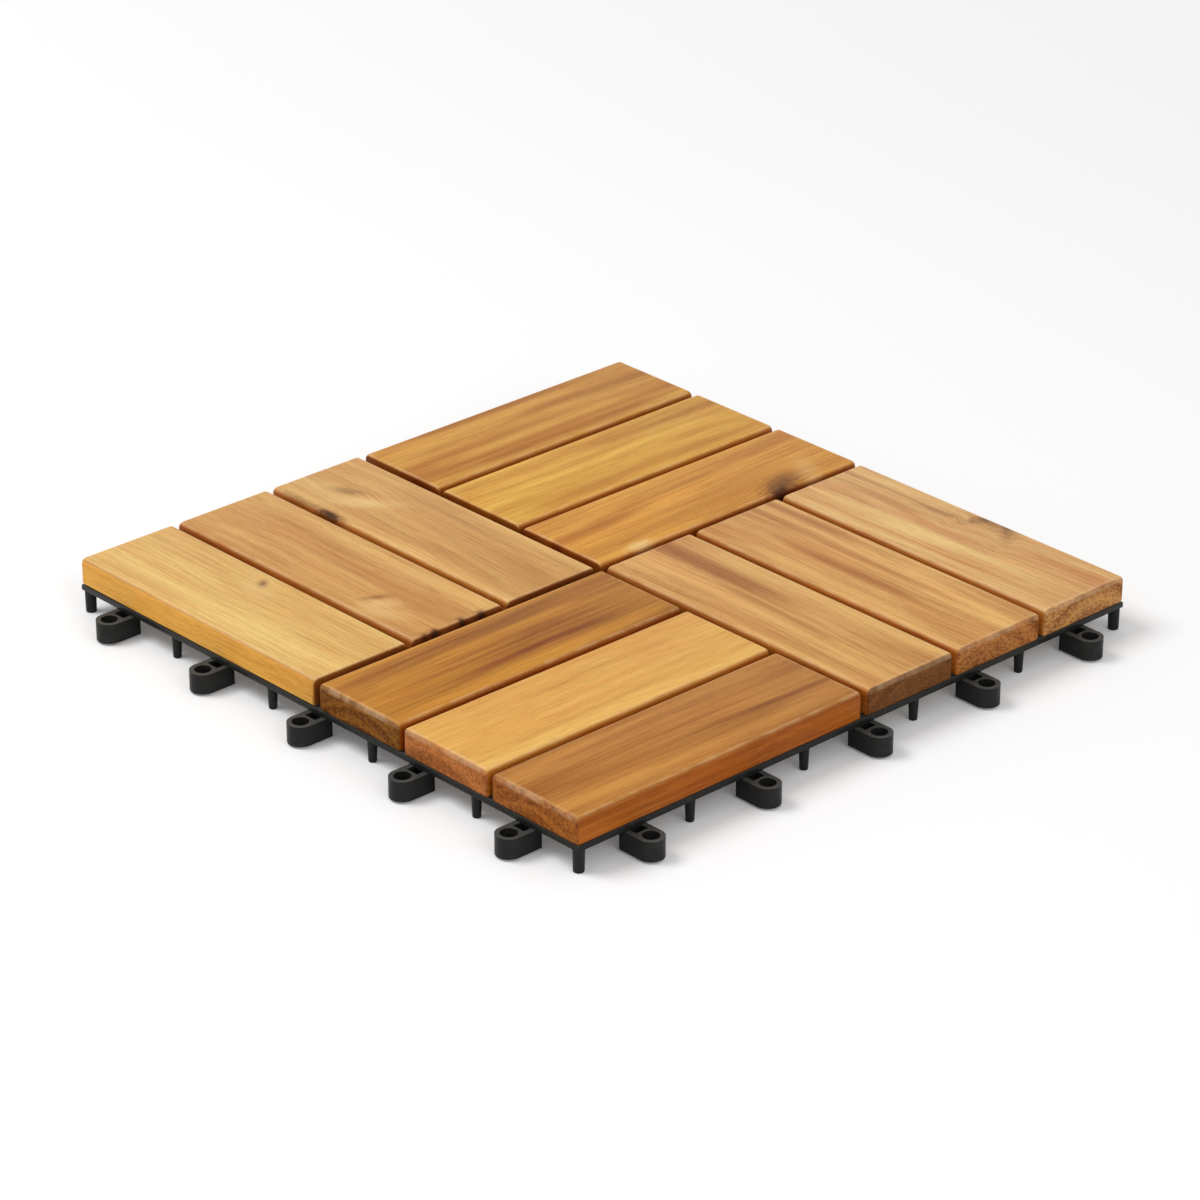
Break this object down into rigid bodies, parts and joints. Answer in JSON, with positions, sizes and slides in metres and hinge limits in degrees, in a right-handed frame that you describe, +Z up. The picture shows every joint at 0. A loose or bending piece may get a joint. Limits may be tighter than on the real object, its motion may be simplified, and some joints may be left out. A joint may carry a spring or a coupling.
{
  "type": "interlocking deck tile",
  "caption": "Square interlocking deck tile: wood slats in four turned groups screwed onto a black plastic lattice base with feet, pegs on two sides and eyelets on the other two.",
  "frame": {"origin": "under the centre of the square of slats, on the plane of the feet's tips", "axes": "+Z up out of the wood deck; -Y and +X point out of the two sides with eyelets, +Y and -X out of the two sides with pegs"},
  "size_m": [0.3137, 0.3137, 0.024],
  "materials": {
    "oiled_wood": "satin, oiled hardwood",
    "black_plastic": "semi-gloss moulded plastic",
    "screw_steel": "plain zinc-plated"
  },
  "bodies": {
    "root": {"base_grid": "black_plastic", "slat_back_right_inner": "oiled_wood", "slat_back_right_middle": "oiled_wood", "slat_back_right_outer": "oiled_wood", "slat_back_left_inner": "oiled_wood", "slat_back_left_middle": "oiled_wood", "slat_back_left_outer": "oiled_wood", "slat_front_left_inner": "oiled_wood", "slat_front_left_middle": "oiled_wood", "slat_front_left_outer": "oiled_wood", "slat_front_right_inner": "oiled_wood", "slat_front_right_middle": "oiled_wood", "slat_front_right_outer": "oiled_wood", "slat_screws": "screw_steel"}
  },
  "joints": []
}
